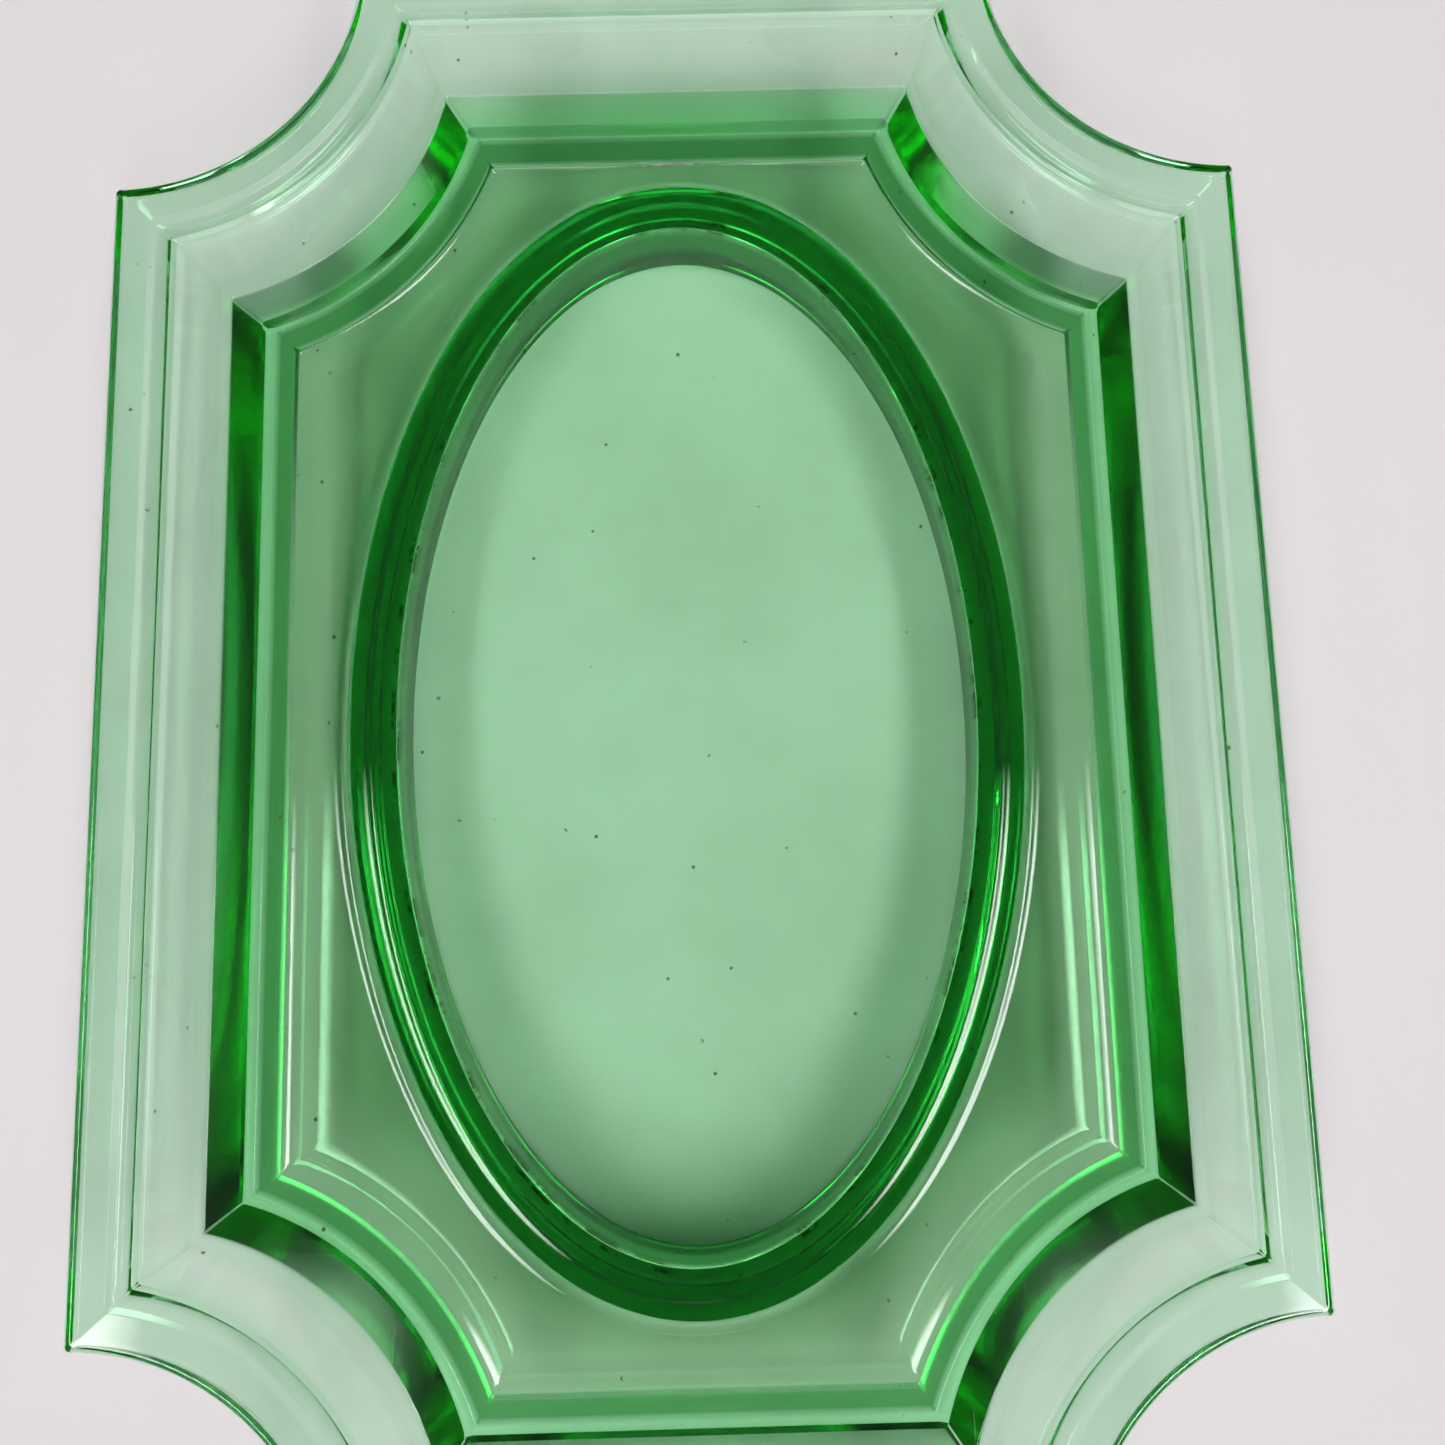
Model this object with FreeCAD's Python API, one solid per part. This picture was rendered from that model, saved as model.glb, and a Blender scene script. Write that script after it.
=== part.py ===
import FreeCAD
import Part
import math
import os

# Shallow rectangular dish, pressed in one piece of green glass: four hollowed corners, a stepped
# rim, a hollow-curved wall, a flat floor and an oval foot ring under it.
# Millimetres. +Y runs along the dish, +X across it, +Z up. The origin is on the table, under the
# middle of the dish.

# Driving dimensions
LENGTH = 284.6
WIDTH = 202.6
CORNER_RADIUS = 43.3  # hollowed corners, centred on the corners of the bounding rectangle
FOOT_HEIGHT = 18.0
FLOOR_THICKNESS = 5.0
WALL_HEIGHT = 27.0  # floor's top to the rim

# Floor and its border
FLOOR_INSET = 31.5  # flat part of the floor ends this far in from the outer edge
BORDER_INSET = 24.5
BORDER_RISE = 1.6

# Steps between the floor and the wall, each as inset from the outer edge and height over the floor
LEDGE = (22.9, 5.2)
SHELF_INNER = (21.9, 7.4)
SHELF_OUTER = (19.3, 7.6)

# Hollow wall: a gentle slope outside the shelf, then a curve that steepens up to the rim
WALL_FOOT = (14.0, 9.2)
WALL_FOOT_SLOPE = 38.0  # degrees
WALL_TOP = (10.2, 23.6)
WALL_TOP_SLOPE = 84.0
WALL_STEPS = 8

# Rim: two flat bands with a small step between them
INNER_BAND = (9.5, 24.3)
BAND_STEP_FOOT = (6.9, 25.0)
BAND_STEP_TOP = (6.3, 26.1)
EDGE_ROUND = 1.2

# Underside of the wall
FLANGE_EDGE = 4.2  # height of the rim's outer edge
FLANGE_CHAMFER = 0.8
FLANGE_ROOT = (6.6, 20.4)
OUTSIDE_BEND = (10.2, 8.0)
HEEL_INSET = 16.6

# Oval foot ring
FOOT_LENGTH = 216.2  # along its middle line
FOOT_WIDTH = 124.2
FOOT_CENTRE = (-0.9, 3.8)  # the ring sits a little off the middle of the floor
FOOT_ROOT_HALF = 5.8
FOOT_NECK_HALF = 4.6
FOOT_TOE_HALF = 3.4
FOOT_FILLET = 2.0
FOOT_TOE_ROUND = 2.0

FLOOR_TOP = FOOT_HEIGHT + FLOOR_THICKNESS
RIM_TOP = FLOOR_TOP + WALL_HEIGHT
OVERLAP = 1.0  # depth that a joined solid runs past the face it meets
ROUND_MIDDLE = 1 - 1 / math.sqrt(2)  # a quarter round's middle point, in from each face, over its radius


def outline(inset, height):
    """Rectangle with hollowed corners, moved in from the outer edge by inset."""
    side = WIDTH / 2 - inset
    end = LENGTH / 2 - inset
    radius = CORNER_RADIUS + inset
    reach = math.sqrt(radius ** 2 - inset ** 2)
    side_y = LENGTH / 2 - reach
    end_x = WIDTH / 2 - reach
    # The middle of each corner's arc, on the line from the corner at 45 degrees.
    mid_x = WIDTH / 2 - radius / math.sqrt(2)
    mid_y = LENGTH / 2 - radius / math.sqrt(2)

    def point(x, y):
        return FreeCAD.Vector(x, y, height)

    edges = []
    for sx, sy in ((1, 1), (-1, 1), (-1, -1), (1, -1)):
        by_side = point(sx * side, sy * side_y)
        by_middle = point(sx * mid_x, sy * mid_y)
        by_end = point(sx * end_x, sy * end)
        if sx * sy > 0:
            start, stop = by_side, by_end
            next_point = point(-sx * end_x, sy * end)
        else:
            start, stop = by_end, by_side
            next_point = point(sx * side, -sy * side_y)
        edges.append(Part.Arc(start, by_middle, stop).toShape())
        edges.append(Part.makeLine(stop, next_point))
    return Part.Wire(edges)


def wall_curve():
    """Points of the hollow wall from its foot to its top, as (inset, height over the floor).

    A quadratic curve that leaves the foot at one slope and reaches the top at the other.
    """
    (x0, z0), (x1, z1) = WALL_FOOT, WALL_TOP
    rise0 = math.tan(math.radians(WALL_FOOT_SLOPE))
    rise1 = math.tan(math.radians(WALL_TOP_SLOPE))
    reach = (z1 - z0 - rise1 * (x0 - x1)) / (rise0 - rise1)
    bend_x = x0 - reach
    bend_z = z0 + rise0 * reach
    points = []
    for step in range(WALL_STEPS + 1):
        t = step / WALL_STEPS
        start, middle, stop = (1 - t) ** 2, 2 * t * (1 - t), t ** 2
        points.append((start * x0 + middle * bend_x + stop * x1, start * z0 + middle * bend_z + stop * z1))
    return points


def stack(stations):
    """Solid through the outlines at each (inset, height over the floor)."""
    wires = [outline(inset, FLOOR_TOP + height) for inset, height in stations]
    return Part.makeLoft(wires, True, True)


def oval(half_thickness, height):
    """Ellipse beside the foot ring's middle line: outside it, or inside if negative."""
    centre = FreeCAD.Vector(*FOOT_CENTRE, height)
    along = FOOT_LENGTH / 2 + half_thickness
    across = FOOT_WIDTH / 2 + half_thickness
    tip = centre + FreeCAD.Vector(0, along, 0)
    flank = centre + FreeCAD.Vector(-across, 0, 0)
    return Part.Wire([Part.Ellipse(tip, flank, centre).toShape()])


def foot_ring():
    levels = [
        (FOOT_ROOT_HALF, FOOT_HEIGHT + OVERLAP),
        (FOOT_ROOT_HALF, FOOT_HEIGHT),
        (FOOT_NECK_HALF, FOOT_HEIGHT - FOOT_FILLET),
        (FOOT_TOE_HALF, FOOT_TOE_ROUND),
        (FOOT_TOE_HALF - FOOT_TOE_ROUND * ROUND_MIDDLE, FOOT_TOE_ROUND * ROUND_MIDDLE),
        (FOOT_TOE_HALF - FOOT_TOE_ROUND, 0),
    ]
    outer = Part.makeLoft([oval(half, z) for half, z in levels], True, True)
    inner = Part.makeLoft([oval(-half, z) for half, z in levels], True, True)
    return outer.cut(inner)


def body():
    outside = stack([
        (HEEL_INSET, -FLOOR_THICKNESS),
        OUTSIDE_BEND,
        FLANGE_ROOT,
        (EDGE_ROUND, WALL_HEIGHT - FLANGE_EDGE - FLANGE_CHAMFER),
        (0, WALL_HEIGHT - FLANGE_EDGE),
        (0, WALL_HEIGHT - EDGE_ROUND),
        (EDGE_ROUND * ROUND_MIDDLE, WALL_HEIGHT - EDGE_ROUND * ROUND_MIDDLE),
        (EDGE_ROUND, WALL_HEIGHT),
    ])
    inside = stack([
        (FLOOR_INSET, 0),
        (BORDER_INSET, BORDER_RISE),
        LEDGE,
        SHELF_INNER,
        SHELF_OUTER,
        *wall_curve(),
        INNER_BAND,
        BAND_STEP_FOOT,
        BAND_STEP_TOP,
        (EDGE_ROUND, WALL_HEIGHT),
    ])
    return outside.cut(inside)


dish = body().fuse(foot_ring()).removeSplitter()
if dish.ShapeType == "Compound" and len(dish.Solids) == 1:
    dish = dish.Solids[0]

os.makedirs("parts", exist_ok=True)
dish.exportStep("parts/glass_dish.step")
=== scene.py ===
"""Uranium glass dish on a pale table, seen from above. In the CAD frame: +Y along the dish, +Z up."""

import math

import bpy
import numpy as np
from mathutils import Matrix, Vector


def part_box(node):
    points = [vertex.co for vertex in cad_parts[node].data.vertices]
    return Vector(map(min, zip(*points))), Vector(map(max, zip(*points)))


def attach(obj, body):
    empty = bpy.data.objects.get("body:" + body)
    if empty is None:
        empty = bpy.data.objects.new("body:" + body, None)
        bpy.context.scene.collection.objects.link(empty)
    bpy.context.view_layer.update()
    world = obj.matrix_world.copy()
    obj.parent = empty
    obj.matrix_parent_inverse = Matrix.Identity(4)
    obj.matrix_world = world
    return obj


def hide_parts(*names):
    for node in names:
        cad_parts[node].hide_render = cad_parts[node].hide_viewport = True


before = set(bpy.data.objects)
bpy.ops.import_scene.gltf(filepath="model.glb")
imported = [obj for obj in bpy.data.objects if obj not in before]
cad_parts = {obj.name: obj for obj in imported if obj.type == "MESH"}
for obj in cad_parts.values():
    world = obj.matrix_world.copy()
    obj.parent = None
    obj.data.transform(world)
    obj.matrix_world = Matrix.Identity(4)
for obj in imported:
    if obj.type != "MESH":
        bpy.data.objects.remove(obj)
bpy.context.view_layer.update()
low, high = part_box("glass_dish")

MM = 0.001  # the dish is worked out in millimetres

# Sizes taken from the CAD node
HALF_W = (high.x - low.x) / 2 / MM
HALF_L = (high.y - low.y) / 2 / MM
RIM_Z = high.z / MM

# Sizes that the box doesn't give, as in the CAD part
CORNER_R = 43.3  # hollowed corners, centred on the corners of the bounding rectangle
FOOT_H = 18.0
FLOOR_T = 5.0
FLOOR_Z = FOOT_H + FLOOR_T
WALL_H = RIM_Z - FLOOR_Z

# Oval foot ring: its middle line's half axes, and how far it sits off the dish's middle
OVAL_A, OVAL_B = 62.1, 108.1
OVAL_X, OVAL_Y = -0.9, 3.8

# Points round a quarter of the outline
SIDE_CUTS, END_CUTS, SCALLOP_CUTS, CORNER_CUTS = 72, 40, 56, 6


# ---------------------------------------------------------------- outlines
def swing(centre, radius, start, stop, cuts):
    """Points of an arc, without its last one."""
    angles = start + (stop - start) * np.arange(cuts) / cuts
    return centre + radius * np.stack([np.cos(angles), np.sin(angles)], 1)


def outline(inset, corner=0.8):
    """The dish's outline moved in by inset, its corners rounded, anticlockwise from +X."""
    side, end, radius = HALF_W - inset, HALF_L - inset, CORNER_R + inset
    hub = np.array([HALF_W, HALF_L])
    reach = math.sqrt((radius + corner) ** 2 - (inset + corner) ** 2)
    side_c = np.array([side - corner, HALF_L - reach])
    end_c = np.array([HALF_W - reach, end - corner])
    lean = [math.atan2(*(hub - c)[::-1]) for c in (side_c, end_c)]
    along = np.arange(SIDE_CUTS) / SIDE_CUTS
    across = np.arange(END_CUTS + 1) / END_CUTS
    quarter = np.concatenate(
        [
            np.stack([np.full(SIDE_CUTS, side), side_c[1] * along], 1),
            swing(side_c, corner, 0.0, lean[0], CORNER_CUTS),
            swing(hub, radius, lean[0] + math.pi, lean[1] + math.pi, SCALLOP_CUTS),
            swing(end_c, corner, lean[1], math.pi / 2, CORNER_CUTS),
            np.stack([end_c[0] * (1 - across), np.full(END_CUTS + 1, end)], 1),
        ]
    )
    flipped = quarter[::-1] * [-1, 1]
    quarters = (quarter, flipped, quarter * -1, flipped * -1)
    return np.concatenate([points[:-1] for points in quarters])


def oval(offset, angles):
    """The foot ring's middle line moved out by offset."""
    x = (OVAL_A + offset) * np.cos(angles) + OVAL_X
    y = (OVAL_B + offset) * np.sin(angles) + OVAL_Y
    return np.stack([x, y], 1)


def rounded(points, cuts=5):
    """A line through (inset, height, corner radius) points, with each corner turned into an arc."""
    out = []
    for k, (x, z, radius) in enumerate(points):
        here = np.array([x, z])
        if radius <= 0 or k in (0, len(points) - 1):
            out.append(here)
            continue
        back = np.array(points[k - 1][:2]) - here
        ahead = np.array(points[k + 1][:2]) - here
        lens = np.linalg.norm(back), np.linalg.norm(ahead)
        back, ahead = back / lens[0], ahead / lens[1]
        half = math.acos(np.clip(back @ ahead, -1, 1)) / 2
        cut = min(radius / math.tan(half), 0.45 * lens[0], 0.45 * lens[1])
        radius = cut * math.tan(half)
        centre = here + (back + ahead) / np.linalg.norm(back + ahead) * radius / math.sin(half)
        a = here + back * cut - centre
        b = here + ahead * cut - centre
        turn = math.atan2(a[0] * b[1] - a[1] * b[0], a @ b)
        for step in range(cuts + 1):
            s = turn * step / cuts
            c, n = math.cos(s), math.sin(s)
            out.append(centre + [a[0] * c - a[1] * n, a[0] * n + a[1] * c])
    return np.array(out)


def refined(line, longest):
    """The line with extra points where two neighbours are further apart than longest."""
    out = [line[0]]
    for a, b in zip(line[:-1], line[1:]):
        n = max(1, math.ceil(np.linalg.norm(b - a) / longest))
        out += [a + (b - a) * k / n for k in range(1, n + 1)]
    return np.array(out)


# ---------------------------------------------------------------- section of the dish
# The floor's border, curved up over its width to an inset from the outer edge
BORDER = 24.5
BORDER_RISE = 1.6
BORDER_WIDTH = 7.0

# Each as inset from the outer edge and height over the floor
LEDGE = (22.9, 5.2)
SHELF_INNER = (21.9, 7.4)
SHELF_OUTER = (19.3, 7.6)
WALL_FOOT = (14.0, 9.2)
WALL_FOOT_SLOPE = 38.0  # degrees
WALL_TOP = (10.2, 23.6)
WALL_TOP_SLOPE = 84.0
INNER_BAND = (9.5, 24.3)
BAND_STEP_FOOT = (6.9, 25.0)
BAND_STEP_TOP = (6.3, 26.1)
OUTSIDE = [(0.0, 22.0), (6.6, 20.2), (10.2, 8.0), (16.6, -FLOOR_T)]  # under the rim to the heel
UNDERSIDE = 22.0  # inset where the underside goes over from the outline's shape to the foot's


def wall_curve(cuts=14):
    """The hollow wall between its foot and its top: a curve along both end slopes."""
    foot, top = np.array(WALL_FOOT), np.array(WALL_TOP)
    a, b = math.radians(WALL_FOOT_SLOPE), math.radians(WALL_TOP_SLOPE)
    start, end = np.array([-math.cos(a), math.sin(a)]), np.array([-math.cos(b), math.sin(b)])
    reach = np.linalg.solve(np.column_stack([start, end]), top - foot)[0]
    bend = foot + start * reach
    t = np.linspace(0, 1, cuts + 1)[1:-1, None]
    points = (1 - t) ** 2 * foot + 2 * t * (1 - t) * bend + t**2 * top
    return [(x, z, 0) for x, z in points]


# The section over the rim: (inset, height over the floor, corner radius)
SECTION = [
    (BORDER, BORDER_RISE, 0),
    (BORDER - 0.25, BORDER_RISE + 0.35, 0.15),
    (*LEDGE, 0.5),
    (*SHELF_INNER, 0.5),
    (*SHELF_OUTER, 0.3),
    (*WALL_FOOT, 2.2),
    *wall_curve(),
    (*WALL_TOP, 0.3),
    (*INNER_BAND, 0.35),
    (*BAND_STEP_FOOT, 0.3),
    (*BAND_STEP_TOP, 0.3),
    (0.0, WALL_H, 1.3),
    (*OUTSIDE[0], 1.0),
    (*OUTSIDE[1], 3.0),
    (*OUTSIDE[2], 8.0),
    (*OUTSIDE[3], 1.0),
    (UNDERSIDE, -FLOOR_T, 0),
]

# Foot ring: (offset from its middle line, height over the table, corner radius), outer side first
FOOT_ROOT = 6.2
FOOT_NECK = 4.6
FOOT_TOE = 3.4
FOOT_OUTER = [
    (FOOT_ROOT, FOOT_H, 0),
    (FOOT_NECK, FOOT_H, 1.6),
    (FOOT_TOE, 0.0, 2.0),
    (0.0, 0.0, 0),
]
TOE_SHADE_HEIGHT = 4.0  # height up the ring's bottom that is painted dark as contact shade with the table


def ramp(value, start, stop):
    """0 at start, 1 at stop, smooth between."""
    t = np.clip((value - start) / (stop - start), 0, 1)
    return t * t * (3 - 2 * t)


def inset_of(x, y):
    """How far in from the outer edge a point is."""
    dx, dy = HALF_W - np.abs(x), HALF_L - np.abs(y)
    return np.minimum(np.minimum(dx, dy), np.hypot(dx, dy) - CORNER_R)


def oval_offset(x, y):
    """How far outside the foot ring's middle line a point is, about."""
    u, v = x - OVAL_X, y - OVAL_Y
    f = np.hypot(u / OVAL_A, v / OVAL_B)
    slope = np.hypot(u / OVAL_A**2, v / OVAL_B**2) / np.maximum(f, 1e-6)
    return (f - 1) / np.maximum(slope, 1e-6)


# The floor's top over the foot ring: a drop and two low ridges, at offsets from the ring's middle line
STEP_OFFSET, STEP_DROP, STEP_WIDTH = -3.0, 0.35, 3.6
RIDGES = (4.6, -1.0)
RIDGE_RISE, RIDGE_WIDTH = 0.24, 1.1
FINE_INNER, FINE_OUTER = -7.0, 6.6  # where the floor's top needs closely spaced rows


def floor_top(p):
    """Height of the floor's top over its flat part.

    It turns up at the border, has two low ridges along the ring and drops a little inside the oval.
    """
    over = np.clip(BORDER + BORDER_WIDTH - inset_of(p[:, 0], p[:, 1]), 0, BORDER_WIDTH)
    radius = (BORDER_WIDTH**2 + BORDER_RISE**2) / (2 * BORDER_RISE)
    up = radius - np.sqrt(radius**2 - over**2)
    offset = oval_offset(p[:, 0], p[:, 1])
    drop = STEP_DROP * ramp(offset, STEP_OFFSET + STEP_WIDTH / 2, STEP_OFFSET - STEP_WIDTH / 2)
    ridges = sum(RIDGE_RISE * np.exp(-(((offset - ridge) / RIDGE_WIDTH) ** 2)) for ridge in RIDGES)
    return up + ridges - drop


# ---------------------------------------------------------------- how clear and smooth each surface is, and the painted shade
def satin(p):
    """1 on the outside of the wall, which isn't as smooth as the inside."""
    inset, h = inset_of(p[:, 0], p[:, 1]), p[:, 2] - FLOOR_Z
    insets, heights = zip(*OUTSIDE)
    near_it = ramp(h - np.interp(inset, insets, heights), 3.0, 1.5)
    return near_it * ramp(inset, 5.0, 7.0) * ramp(inset, UNDERSIDE, UNDERSIDE - 2.0)


def painted_shade_tints(p):
    """Painted shade: a tint of light through each point's surface that darkens it where shade falls.

    Deeper on the slope outside the shelf along the two sides, the ledge, the underside and the foot: painted
    shade beside and under the dish, and painted contact shade at the foot.
    """
    x, y, z = p.T
    inset, offset, h = inset_of(x, y), oval_offset(x, y), z - FLOOR_Z
    ledge = ramp(inset, SHELF_INNER[0] - 0.1, SHELF_INNER[0] + 0.3) * ramp(h, BORDER_RISE, BORDER_RISE + 0.8)
    beneath = ramp(h, -FLOOR_T + 0.3, -FLOOR_T + 0.1) * ramp(offset, FOOT_NECK, FOOT_ROOT)
    beneath = beneath * ramp(inset, OUTSIDE[-1][0] + 0.6, OUTSIDE[-1][0] + 3.0)
    # painted contact shade along the bottom of the foot ring
    toe = ramp(z, TOE_SHADE_HEIGHT, 0.6 * TOE_SHADE_HEIGHT)
    inner_face = ramp(offset, -FOOT_TOE + 0.6, -FOOT_TOE) * ramp(z, FOOT_H - 1.0, FOOT_H - 3.0)
    slope = ramp(inset, WALL_FOOT[0] - 0.3, WALL_FOOT[0] + 0.2)
    slope = slope * ramp(inset, SHELF_OUTER[0] + 0.2, SHELF_OUTER[0] - 0.3) * ramp(h, 5.0, 6.0)
    slope = slope * ramp(HALF_L - np.abs(y) - HALF_W + np.abs(x), 0, 15.0)
    painted_shade_tint = np.ones((len(p), 4))
    # Every layer is painted shade: a darker tint where shade falls on and under the dish, not a colour of
    # the glass
    layers = (
        (slope, (0.32, 0.34, 0.34)),
        (ledge, (0.06, 0.24, 0.07)),
        (beneath, (0.36, 0.50, 0.33)),
        (inner_face, (0.05, 0.30, 0.10)),
        (toe, (0.02, 0.16, 0.06)),
    )
    for amount, colour in layers:
        painted_shade_tint[:, :3] += (np.array(colour) - painted_shade_tint[:, :3]) * amount[:, None]
    return painted_shade_tint


def dirt(p):
    """Where grime gathers: in the crease along the ring's inner edge."""
    offset, z = oval_offset(p[:, 0], p[:, 1]), p[:, 2]
    inward = -offset - FOOT_NECK
    return ramp(z, FOOT_H - 2.2, FOOT_H - 1.2) * ramp(inward, -0.1, 0.1) * ramp(inward, 0.9, 0.5)


# ---------------------------------------------------------------- the dish's mesh
def dish_rows():
    """Rings of points from the floor's middle out over the rim and back under to the underside's middle."""
    edge = outline(BORDER)
    angles = np.arctan2((edge[:, 1] - OVAL_Y) / OVAL_B, (edge[:, 0] - OVAL_X) / OVAL_A)
    rows = []

    def add(plan, z):
        rows.append(np.column_stack([plan, np.broadcast_to(z, len(plan))]))

    hub = np.array([OVAL_X, OVAL_Y])
    inner = oval(FINE_INNER, angles)
    for f in np.linspace(0.08, 0.97, 14):
        plan = hub + (inner - hub) * f
        add(plan, FLOOR_Z + floor_top(plan))
    for t in np.linspace(FINE_INNER, FINE_OUTER, 54):
        plan = oval(t, angles)
        add(plan, FLOOR_Z + floor_top(plan))
    inner = oval(FINE_OUTER, angles)
    for f in np.linspace(0, 1, 16)[1:-1]:
        plan = inner + (edge - inner) * f
        add(plan, FLOOR_Z + floor_top(plan))
    for inset, z in refined(rounded(SECTION), 1.2):
        add(outline(inset), FLOOR_Z + z)
    heel = outline(UNDERSIDE)
    root = oval(FOOT_ROOT, angles)
    for f in np.linspace(0, 1, 12)[1:-1]:
        add(heel + (root - heel) * f, FOOT_H)
    foot = refined(rounded(FOOT_OUTER, 7), 1.5)
    for offset, z in foot:
        add(oval(offset, angles), z)
    for offset, z in foot[::-1][1:]:
        add(oval(-offset, angles), z)
    inner = oval(-FOOT_ROOT, angles)
    for f in np.linspace(0.92, 0.08, 8):
        add(hub + (inner - hub) * f, FOOT_H)
    return np.array(rows)


def dish_mesh():
    """The rows joined into one closed skin, with smooth normals, the painted shade tint, grime and finish.
    """
    rows = dish_rows() * MM
    n_rows, n = rows.shape[:2]
    around = np.roll(rows, -1, 1) - np.roll(rows, 1, 1)
    padded = np.concatenate([rows[:1], rows, rows[-1:]])
    outward = padded[2:] - padded[:-2]
    normals = np.cross(outward, around)
    normals /= np.linalg.norm(normals, axis=2, keepdims=True)
    top = rows[0].mean(0)
    bottom = rows[-1].mean(0)
    points = np.concatenate([rows.reshape(-1, 3), [top, bottom]])
    directions = np.concatenate([normals.reshape(-1, 3), [[0, 0, 1], [0, 0, -1]]])
    j = np.arange(n)
    k = (j + 1) % n
    faces = []
    for i in range(n_rows - 1):
        a, b = i * n, (i + 1) * n
        faces += np.stack([a + j, b + j, b + k, a + k], 1).tolist()
    faces += np.stack([np.full(n, n_rows * n), j, k], 1).tolist()
    last = (n_rows - 1) * n
    faces += np.stack([np.full(n, n_rows * n + 1), last + k, last + j], 1).tolist()
    mesh = bpy.data.meshes.new("pressed_glass_dish")
    mesh.from_pydata(points.tolist(), [], faces)
    mesh.polygons.foreach_set("use_smooth", [True] * len(mesh.polygons))
    mesh.update()
    mesh.normals_split_custom_set_from_vertices(directions.tolist())
    # Painted shade, stored on the mesh as a colour attribute
    painted_shade_tint = mesh.attributes.new("painted_shade_tint", "FLOAT_COLOR", "POINT")
    painted_shade_tint.data.foreach_set("color", painted_shade_tints(points / MM).ravel())
    for name, amounts in (("grime", dirt), ("outside", satin)):
        mesh.attributes.new(name, "FLOAT", "POINT").data.foreach_set("value", amounts(points / MM))
    return mesh


# ---------------------------------------------------------------- materials
def nodes_of(name):
    mat = bpy.data.materials.new(name)
    mat.use_nodes = True
    tree = mat.node_tree
    return mat, tree, tree.nodes["Principled BSDF"], tree.nodes["Material Output"]


def link(tree, a, b):
    tree.links.new(a, b)


def noise(tree, coords, scale, detail=3.0, rough=0.5):
    n = tree.nodes.new("ShaderNodeTexNoise")
    n.inputs["Scale"].default_value = scale
    n.inputs["Detail"].default_value = detail
    n.inputs["Roughness"].default_value = rough
    link(tree, coords, n.inputs["Vector"])
    return n.outputs["Fac"]


def ranged(tree, value, low_in, high_in, low_out, high_out):
    n = tree.nodes.new("ShaderNodeMapRange")
    for key, v in zip(("From Min", "From Max", "To Min", "To Max"), (low_in, high_in, low_out, high_out)):
        n.inputs[key].default_value = v
    link(tree, value, n.inputs["Value"])
    return n.outputs["Result"]


def mixed(tree, factor, a, b, blend="MIX"):
    n = tree.nodes.new("ShaderNodeMix")
    n.data_type = "RGBA"
    n.blend_type = blend
    link(tree, factor, n.inputs["Factor"])
    for socket, value in ((n.inputs["A"], a), (n.inputs["B"], b)):
        if isinstance(value, tuple):
            socket.default_value = value
        else:
            link(tree, value, socket)
    return n.outputs["Result"]


def maths(tree, operation, a, b):
    n = tree.nodes.new("ShaderNodeMath")
    n.operation = operation
    for socket, value in zip(n.inputs, (a, b)):
        if isinstance(value, (int, float)):
            socket.default_value = value
        else:
            link(tree, value, socket)
    return n.outputs[0]


def attribute(tree, name, output):
    n = tree.nodes.new("ShaderNodeAttribute")
    n.attribute_name = name
    return n.outputs[output]


def spots(tree, coords, spacing, size):
    """Small dots, about one in each cell of that spacing, 1 inside and 0 outside."""
    n = tree.nodes.new("ShaderNodeTexVoronoi")
    n.inputs["Scale"].default_value = 1 / spacing
    link(tree, coords, n.inputs["Vector"])
    return ranged(tree, n.outputs["Distance"], size / spacing, 0.6 * size / spacing, 0, 1)


def scratches(tree, coords, angle):
    """Hairlines, broken up, all about one way."""
    turn = tree.nodes.new("ShaderNodeMapping")
    turn.inputs["Rotation"].default_value = (0, 0, angle)
    turn.inputs["Scale"].default_value = (2400, 80, 80)
    link(tree, coords, turn.inputs["Vector"])
    return ranged(tree, noise(tree, turn.outputs["Vector"], 1.0, 1), 0.74, 0.80, 0, 1)


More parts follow.
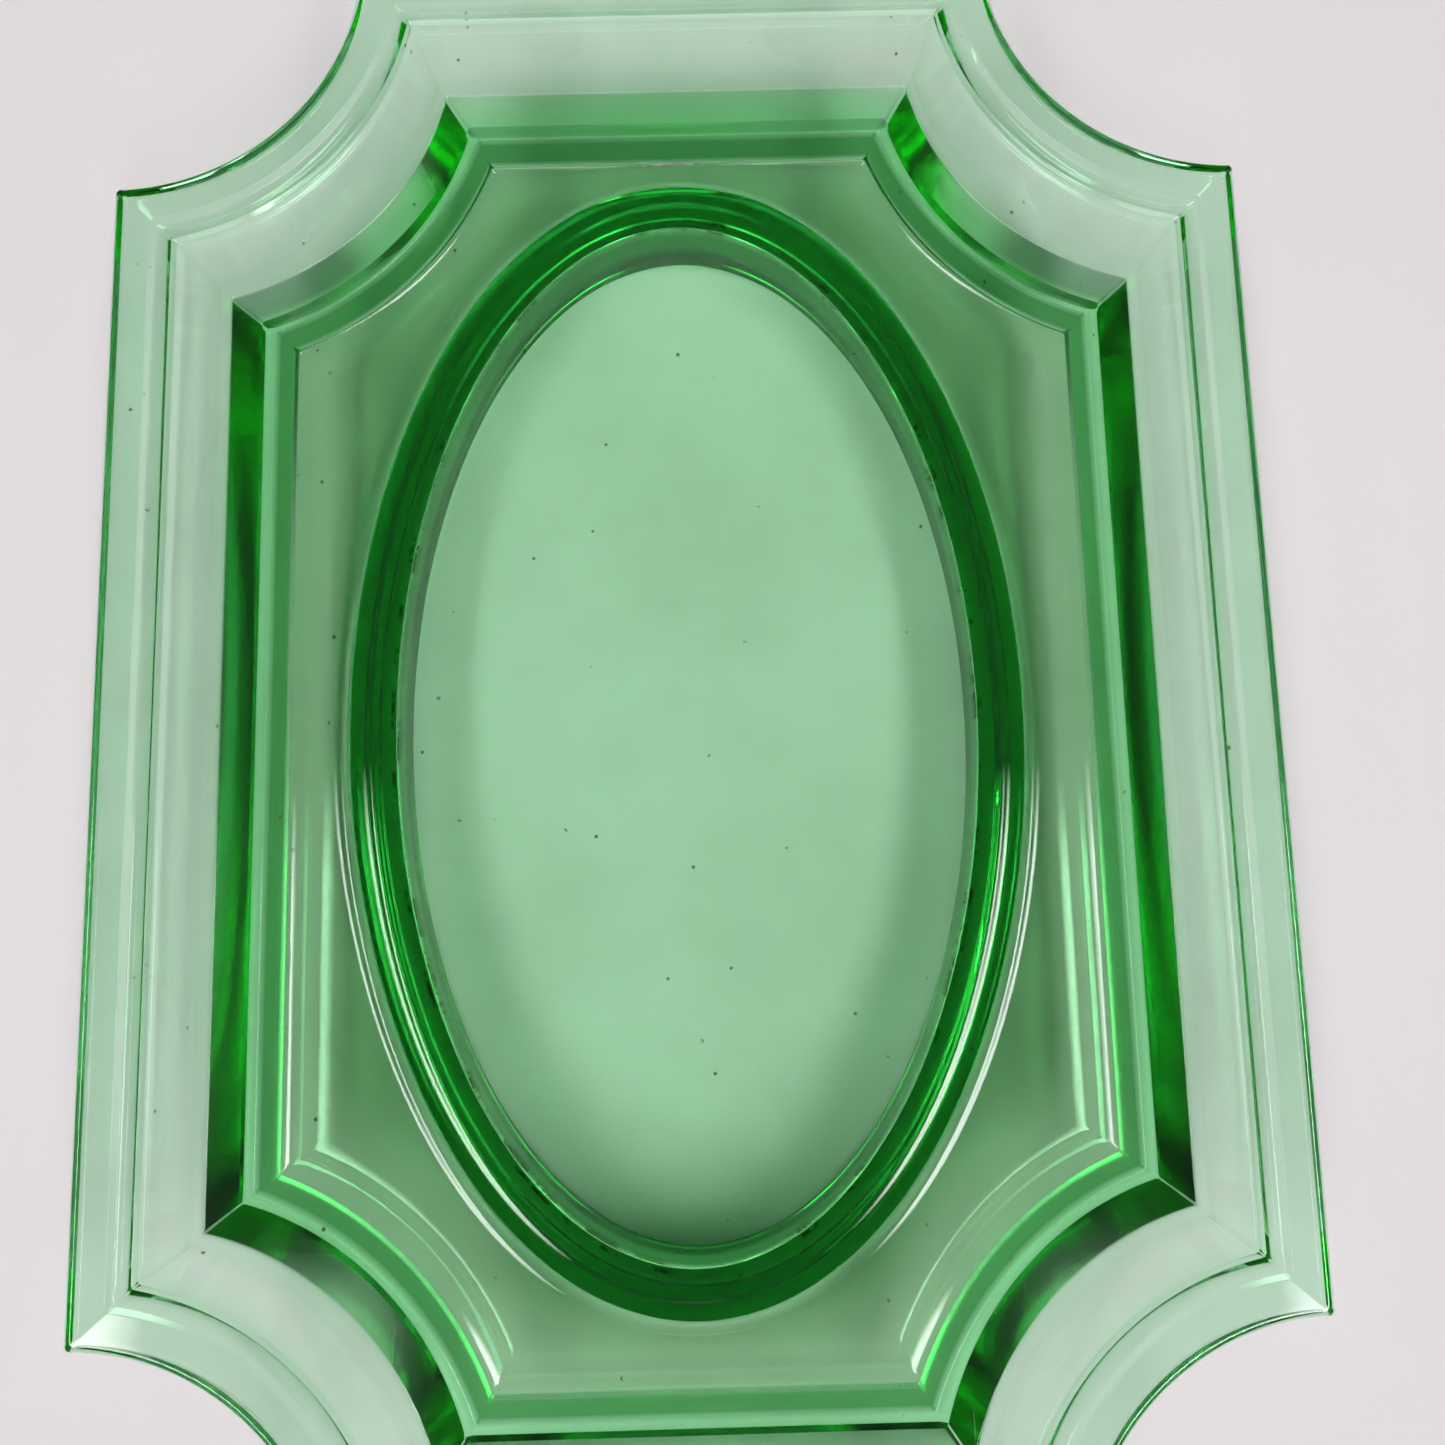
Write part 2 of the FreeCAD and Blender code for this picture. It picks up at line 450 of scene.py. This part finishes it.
def glass_material():
    mat, tree, bsdf, out = nodes_of("uranium_glass")
    coords = tree.nodes.new("ShaderNodeTexCoord").outputs["Object"]

    # Grime in the crease of the foot, a few specks and a faint haze, over the painted shade tint carried by
    # the mesh attribute
    patches = ranged(tree, noise(tree, coords, 90, 8, 0.7), 0.54, 0.58, 0, 1)
    grime = maths(tree, "MULTIPLY", attribute(tree, "grime", "Fac"), patches)
    ragged = ranged(tree, noise(tree, coords, 700, 2), 0.40, 0.50, 0, 1)
    specks = maths(tree, "MULTIPLY", spots(tree, coords, 0.010, 0.0005), ragged)
    dirty = maths(tree, "MAXIMUM", grime, specks)
    haze = ranged(tree, noise(tree, coords, 30, 5, 0.6), 0.42, 0.68, 0.0, 0.25)
    # painted shade: the tint attribute darkens the glass where shade falls
    tinted = mixed(tree, haze, attribute(tree, "painted_shade_tint", "Color"), (0.66, 0.68, 0.62, 1), "MULTIPLY")
    base = mixed(tree, dirty, tinted, (0.16, 0.07, 0.015, 1))
    link(tree, base, bsdf.inputs["Base Color"])
    bsdf.inputs["Transmission Weight"].default_value = 1.0
    bsdf.inputs["IOR"].default_value = 1.51

    # Polished, apart from smears, hairlines and the outside of the wall
    smears = ranged(tree, noise(tree, coords, 40, 5), 0.45, 0.75, 0.0, 0.03)
    lines = maths(tree, "MAXIMUM", scratches(tree, coords, 0.5), scratches(tree, coords, -0.9))
    worn = maths(tree, "MAXIMUM", smears, ranged(tree, lines, 0, 1, 0, 0.2))
    outside = ranged(tree, attribute(tree, "outside", "Fac"), 0, 1, 0, 0.12)
    link(tree, maths(tree, "MAXIMUM", worn, outside), bsdf.inputs["Roughness"])
    bump = tree.nodes.new("ShaderNodeBump")
    bump.inputs["Strength"].default_value = 0.6
    bump.inputs["Distance"].default_value = 0.00006
    link(tree, noise(tree, coords, 55, 2), bump.inputs["Height"])
    link(tree, bump.outputs["Normal"], bsdf.inputs["Normal"])

    # Green through its thickness
    depth = tree.nodes.new("ShaderNodeVolumeAbsorption")
    depth.inputs["Color"].default_value = (0.0, 0.93, 0.26, 1)
    depth.inputs["Density"].default_value = 72.0
    link(tree, depth.outputs["Volume"], out.inputs["Volume"])
    return mat


def table_material():
    mat, tree, bsdf, _ = nodes_of("pale_table")
    coords = tree.nodes.new("ShaderNodeTexCoord").outputs["Object"]
    shade = mixed(tree, noise(tree, coords, 6, 4), (0.80, 0.75, 0.77, 1), (0.76, 0.72, 0.73, 1))
    link(tree, shade, bsdf.inputs["Base Color"])
    bsdf.inputs["Roughness"].default_value = 0.7
    return mat


# ---------------------------------------------------------------- pieces
dish = bpy.data.objects.new("pressed_glass_dish", dish_mesh())
bpy.context.scene.collection.objects.link(dish)
dish.data.materials.append(glass_material())
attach(dish, "root")
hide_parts("glass_dish")

TABLE_HALF = 8.0
TABLE_GAP = 0.0002  # so that the foot and the table don't share a plane
table_mesh = bpy.data.meshes.new("table_top")
corners = [(-1, -1), (1, -1), (1, 1), (-1, 1)]
table_mesh.from_pydata([(x * TABLE_HALF, y * TABLE_HALF, 0) for x, y in corners], [], [(0, 1, 2, 3)])
table = bpy.data.objects.new("table_top", table_mesh)
table.location.z = low.z - TABLE_GAP
bpy.context.scene.collection.objects.link(table)
table_mesh.materials.append(table_material())

# ---------------------------------------------------------------- light
# A dim room with three soft panels overhead. Each panel's sides across and along are given as
# distances from the dish over the panel's height.
PANELS = [
    ((0.44, 0.64), (-1.2, 0.02), 15.8),
    ((-0.63, -0.44), (-1.0, 0.04), 13.0),
    ((-0.40, 0.40), (-1.7, -0.9), 2.3),
]
PANEL_SOFT = 0.05

world = bpy.data.worlds.new("room")
bpy.context.scene.world = world
world.use_nodes = True
room = world.node_tree
sky = room.nodes["Background"]
ray = room.nodes.new("ShaderNodeSeparateXYZ")
link(room, room.nodes.new("ShaderNodeTexCoord").outputs["Generated"], ray.inputs[0])


def between(value, start, stop):
    """1 from start to stop, with soft edges."""
    rise = ranged(room, value, start - PANEL_SOFT, start + PANEL_SOFT, 0, 1)
    fall = ranged(room, value, stop - PANEL_SOFT, stop + PANEL_SOFT, 1, 0)
    return maths(room, "MULTIPLY", rise, fall)


above = maths(room, "GREATER_THAN", ray.outputs["Z"], 0.02)
over_x = maths(room, "DIVIDE", ray.outputs["X"], ray.outputs["Z"])
over_y = maths(room, "DIVIDE", ray.outputs["Y"], ray.outputs["Z"])
light = ranged(room, ray.outputs["Z"], 0.0, 1.0, 0.10, 0.08)
for across, along, strength in PANELS:
    shape = maths(room, "MULTIPLY", between(over_x, *across), between(over_y, *along))
    shape = maths(room, "MULTIPLY", shape, above)
    light = maths(room, "ADD", light, maths(room, "MULTIPLY", shape, strength))

# The room's far side, seen only directly: a pale backdrop like the table
backdrop = room.nodes.new("ShaderNodeMix")
link(room, room.nodes.new("ShaderNodeLightPath").outputs["Is Camera Ray"], backdrop.inputs["Factor"])
link(room, light, backdrop.inputs["A"])
link(room, ranged(room, ray.outputs["Z"], 0.0, 0.5, 0.70, 0.58), backdrop.inputs["B"])
sky.inputs["Color"].default_value = (1.0, 0.985, 1.0, 1)
link(room, backdrop.outputs["Result"], sky.inputs["Strength"])

# ---------------------------------------------------------------- camera
# Close above the dish, a little towards its near end
CAMERA_AT = (4.74, -23.6, FLOOR_Z + BORDER_RISE + 207.7)
PITCH, ROLL, SPIN = -0.123, 0.003, 0.0262
cam_data = bpy.data.cameras.new("camera")
cam_data.lens = 27.03
cam_data.sensor_width = 36.0
cam_data.clip_start = 0.01
cam = bpy.data.objects.new("camera", cam_data)
bpy.context.scene.collection.objects.link(cam)
turn = Matrix.Rotation(PITCH, 3, "X") @ Matrix.Rotation(ROLL, 3, "Y") @ Matrix.Rotation(SPIN, 3, "Z")
cam.matrix_world = Matrix.Translation([c * MM for c in CAMERA_AT]) @ turn.transposed().to_4x4()
bpy.context.scene.camera = cam

scene = bpy.context.scene
scene.view_settings.view_transform = "Standard"
scene.cycles.max_bounces = 48
scene.cycles.transmission_bounces = 48
scene.cycles.glossy_bounces = 16
scene.cycles.blur_glossy = 0.0
scene.cycles.use_denoising = True
